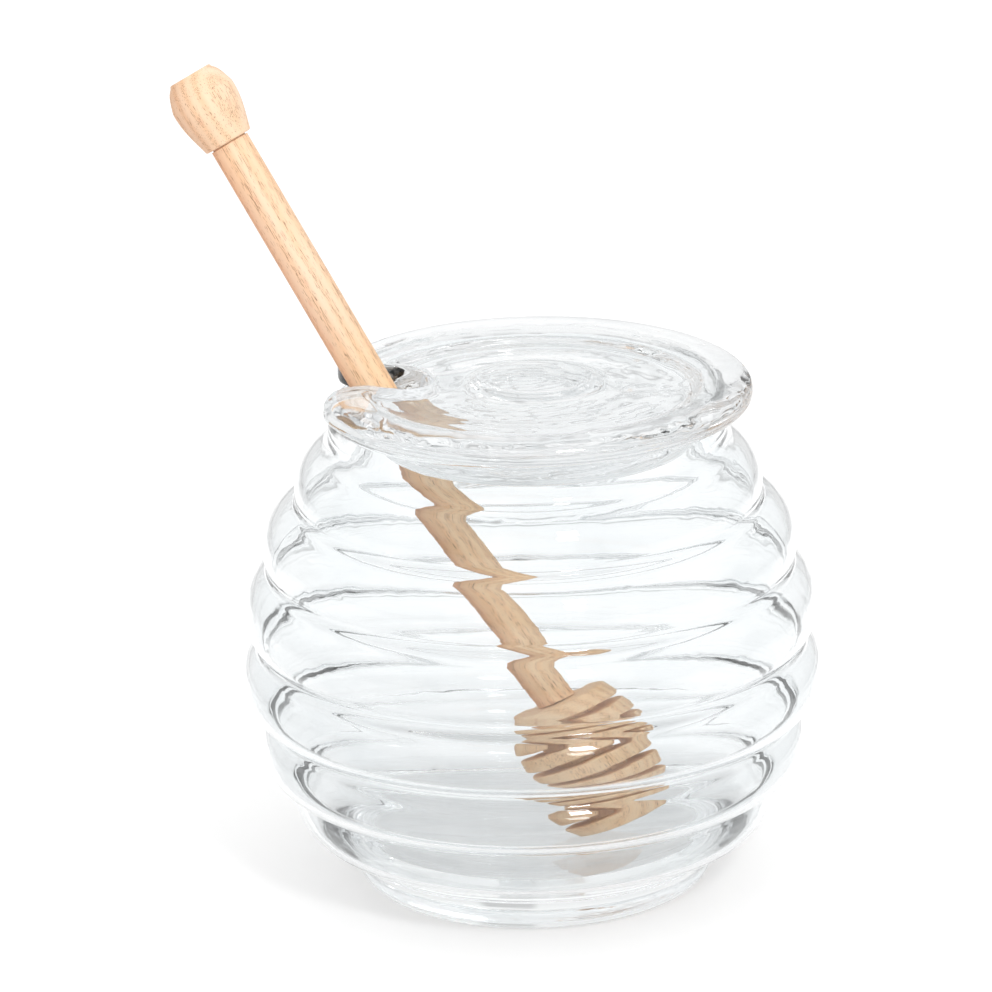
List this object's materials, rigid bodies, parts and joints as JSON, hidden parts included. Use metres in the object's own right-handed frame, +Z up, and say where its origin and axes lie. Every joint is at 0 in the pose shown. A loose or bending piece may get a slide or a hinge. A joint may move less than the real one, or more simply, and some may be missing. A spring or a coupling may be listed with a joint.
{
  "type": "honey pot",
  "caption": "Ribbed clear glass jar with a thick notched glass lid and a turned wooden dipper leaning in the notch.",
  "frame": {"origin": "centre of the jar's flat underside, where its axis meets the table", "axes": "+Z up along the jar's axis; the dipper leans out of the lid's notch towards -X; -Y faces the viewer"},
  "size_m": [0.1202, 0.11, 0.1548],
  "materials": {
    "pot_glass": "clear, fire-polished",
    "lid_glass": "clear, hand-pressed, fire-polished",
    "rod_wood": "plain sanded beech",
    "head_wood": "plain turned beech",
    "knob_wood": "plain turned beech"
  },
  "bodies": {
    "root": {"glass_pot": "pot_glass", "glass_lid": "lid_glass", "dipper_rod": "rod_wood", "dipper_head": "head_wood", "dipper_knob": "knob_wood"}
  },
  "joints": []
}
